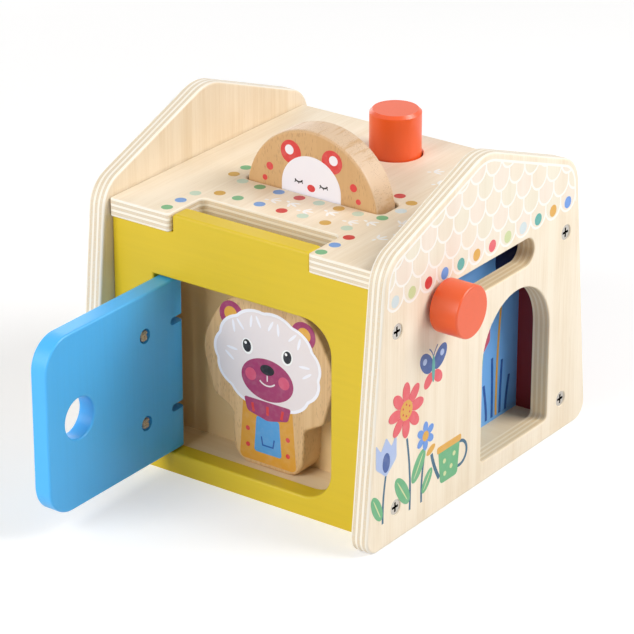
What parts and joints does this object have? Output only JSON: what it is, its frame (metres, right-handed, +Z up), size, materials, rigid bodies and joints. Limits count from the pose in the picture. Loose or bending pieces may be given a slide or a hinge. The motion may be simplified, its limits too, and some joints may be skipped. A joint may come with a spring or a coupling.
{
  "type": "pop up animal toy",
  "caption": "Wooden play house for toddlers with a hinged door, a push button that lifts a half-disc figure through the roof, and a knob that slides a figure behind an arched window.",
  "frame": {"origin": "centre of the house's footprint, on the surface it stands on", "axes": "+X to the knob side, +Y from the door side to the back, +Z up"},
  "size_m": [0.197, 0.275, 0.1777],
  "materials": {
    "birch_ply": "clear satin lacquer, birch face with layered edges",
    "yellow_paint": "satin mustard yellow paint on plywood",
    "maroon_paint": "satin maroon paint on plywood",
    "door_blue_paint": "satin sky blue paint on plywood",
    "sky_blue_paint": "satin light blue paint on plywood",
    "beech": "clear satin lacquer on beech",
    "orange_paint": "satin orange paint on turned wood",
    "screw_steel": "zinc plated steel",
    "axle_steel": "drawn steel",
    "elastic_cord": "off-white braided elastic"
  },
  "bodies": {
    "house": {"side_panel_left": "birch_ply", "side_panel_right": "birch_ply", "front_panel": "yellow_paint", "back_panel": "maroon_paint", "roof_board": "birch_ply", "floor_board": "birch_ply", "compartment_wall": "birch_ply", "channel_board": "sky_blue_paint", "front_figure": "beech", "figure_screws": "screw_steel", "jamb_cords": "elastic_cord", "block_guide_left": "beech", "block_guide_right": "beech", "pivot_bracket_left": "beech", "pivot_bracket_right": "beech", "rocker_axle": "axle_steel", "side_screws_left": "screw_steel", "side_screws_right": "screw_steel"},
    "door": {"door": "door_blue_paint", "door_cords": "elastic_cord"},
    "pop_up": {"pop_up_block": "beech"},
    "button": {"push_button": "orange_paint", "button_collar": "beech"},
    "rocker": {"rocker_lever": "beech"},
    "slider": {"slide_knob": "orange_paint", "knob_stem": "orange_paint", "slider_figure": "beech", "knob_screw": "screw_steel"}
  },
  "joints": [
    {"name": "door_hinge", "type": "hinge", "parent": "house", "child": "door", "pos_m": [-0.048, -0.075, 0.059], "axis": [0, 0, 1], "range_deg": [-7, 90]},
    {"name": "pop_up_lift", "type": "slide", "parent": "house", "child": "pop_up", "axis": [0, 0, 1], "range_m": [0, 0.018]},
    {"name": "button_press", "type": "slide", "parent": "house", "child": "button", "axis": [0, 0, -1], "range_m": [0, 0.018]},
    {"name": "rocker_pivot", "type": "hinge", "parent": "house", "child": "rocker", "pos_m": [0.0005, 0.0189, 0.095], "axis": [-1, 0, 0], "range_deg": [0, 31.65]},
    {"name": "knob_slide", "type": "slide", "parent": "house", "child": "slider", "axis": [0, 1, 0], "range_m": [0, 0.0764]}
  ],
  "couplings": [
    {"joint": "button_press", "follows": "pop_up_lift", "ratio": 1},
    {"joint": "rocker_pivot", "follows": "pop_up_lift", "rad_per_m": 30.691}
  ]
}
